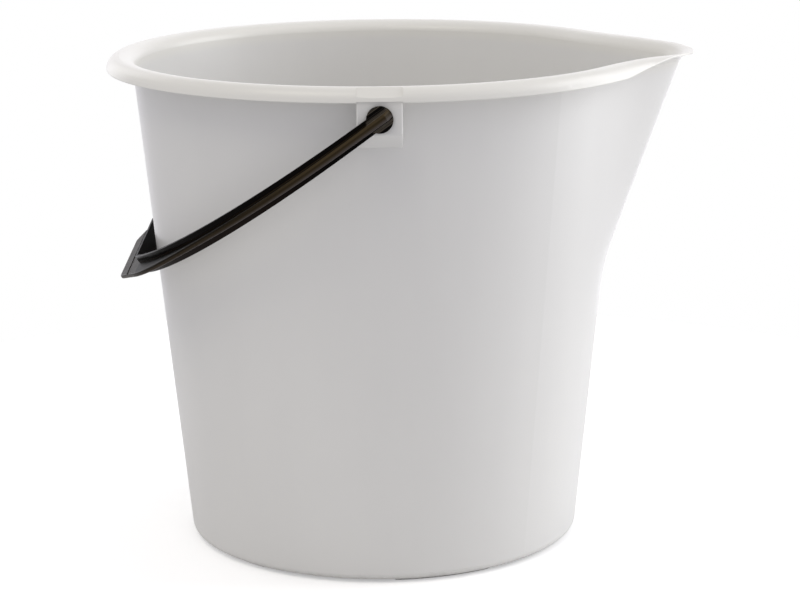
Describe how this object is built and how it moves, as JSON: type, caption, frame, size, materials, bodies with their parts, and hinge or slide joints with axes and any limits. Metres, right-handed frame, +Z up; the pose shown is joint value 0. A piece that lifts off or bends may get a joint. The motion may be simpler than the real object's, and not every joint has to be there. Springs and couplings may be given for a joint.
{
  "type": "bucket",
  "caption": "Tapered plastic bucket with a rolled rim, a pouring spout and moulded ears, and a one-piece plastic bail handle that swings over the mouth.",
  "frame": {"origin": "centre of the base, at the level of the surface the feet stand on", "axes": "+Z up along the bucket's axis, +X towards the pouring spout, the handle's pivots on +Y and -Y"},
  "size_m": [0.3086, 0.2976, 0.2594],
  "materials": {
    "body_plastic": "satin, pale grey-white",
    "handle_plastic": "gloss, black"
  },
  "bodies": {
    "bucket": {"bucket_body": "body_plastic"},
    "bail": {"bail_handle": "handle_plastic"}
  },
  "joints": [
    {"name": "bail_swing", "type": "hinge", "parent": "bucket", "child": "bail", "pos_m": [0, 0, 0.24455], "axis": [0, 1, 0], "range_deg": [0, 207.8]}
  ]
}
